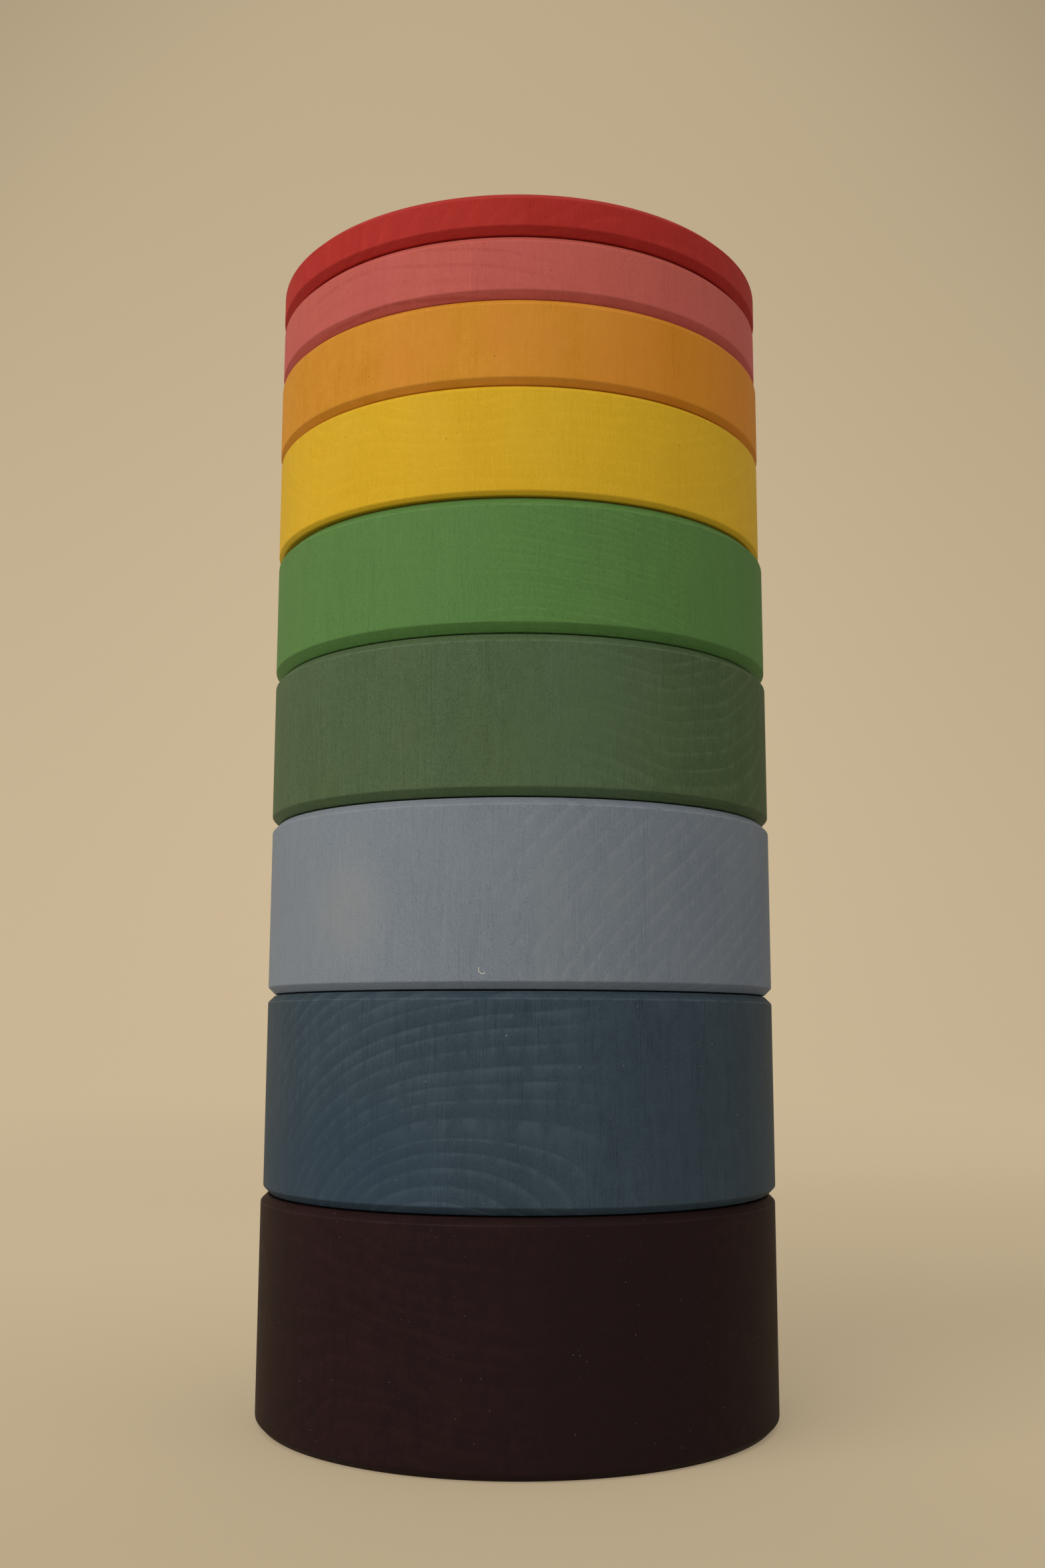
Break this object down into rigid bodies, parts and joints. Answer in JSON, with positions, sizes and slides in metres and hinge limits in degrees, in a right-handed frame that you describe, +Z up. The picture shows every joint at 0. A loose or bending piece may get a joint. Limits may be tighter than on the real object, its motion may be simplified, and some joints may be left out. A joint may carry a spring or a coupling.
{
  "type": "stacking tower",
  "caption": "Wooden stacking tower: chamfered round discs of one diameter, thicker towards the base, over a central post.",
  "frame": {"origin": "middle of the base disc's underside, on the surface that the tower stands on", "axes": "+Z up along the post; +X to the right and +Y away from the viewer in the pictured view, though the tower is round"},
  "size_m": [0.12, 0.12, 0.27],
  "materials": {
    "brown_stain": "matt water-based stain, grain showing",
    "blue_stain": "matt water-based stain, grain showing",
    "light_blue_stain": "matt water-based stain, grain showing",
    "dark_green_stain": "matt water-based stain, grain showing",
    "green_stain": "matt water-based stain, grain showing",
    "yellow_stain": "matt water-based stain, grain showing",
    "orange_stain": "matt water-based stain, grain showing",
    "pink_stain": "matt water-based stain, grain showing",
    "red_stain": "matt water-based stain, grain showing",
    "bare_wood": "sanded and oiled"
  },
  "bodies": {
    "base": {"base_disc": "brown_stain", "post": "bare_wood"},
    "blue": {"blue_disc": "blue_stain"},
    "light_blue": {"light_blue_disc": "light_blue_stain"},
    "dark_green": {"dark_green_disc": "dark_green_stain"},
    "green": {"green_disc": "green_stain"},
    "yellow": {"yellow_disc": "yellow_stain"},
    "orange": {"orange_disc": "orange_stain"},
    "pink": {"pink_disc": "pink_stain"},
    "red": {"red_disc": "red_stain"}
  },
  "joints": [
    {"name": "blue_lift", "type": "slide", "parent": "base", "child": "blue", "axis": [0, 0, 1], "range_m": [0, 0.228]},
    {"name": "light_blue_lift", "type": "slide", "parent": "blue", "child": "light_blue", "axis": [0, 0, 1], "range_m": [0, 0.183]},
    {"name": "dark_green_lift", "type": "slide", "parent": "light_blue", "child": "dark_green", "axis": [0, 0, 1], "range_m": [0, 0.143]},
    {"name": "green_lift", "type": "slide", "parent": "dark_green", "child": "green", "axis": [0, 0, 1], "range_m": [0, 0.108]},
    {"name": "yellow_lift", "type": "slide", "parent": "green", "child": "yellow", "axis": [0, 0, 1], "range_m": [0, 0.078]},
    {"name": "orange_lift", "type": "slide", "parent": "yellow", "child": "orange", "axis": [0, 0, 1], "range_m": [0, 0.053]},
    {"name": "pink_lift", "type": "slide", "parent": "orange", "child": "pink", "axis": [0, 0, 1], "range_m": [0, 0.033]},
    {"name": "red_lift", "type": "slide", "parent": "pink", "child": "red", "axis": [0, 0, 1], "range_m": [0, 0.018]}
  ]
}
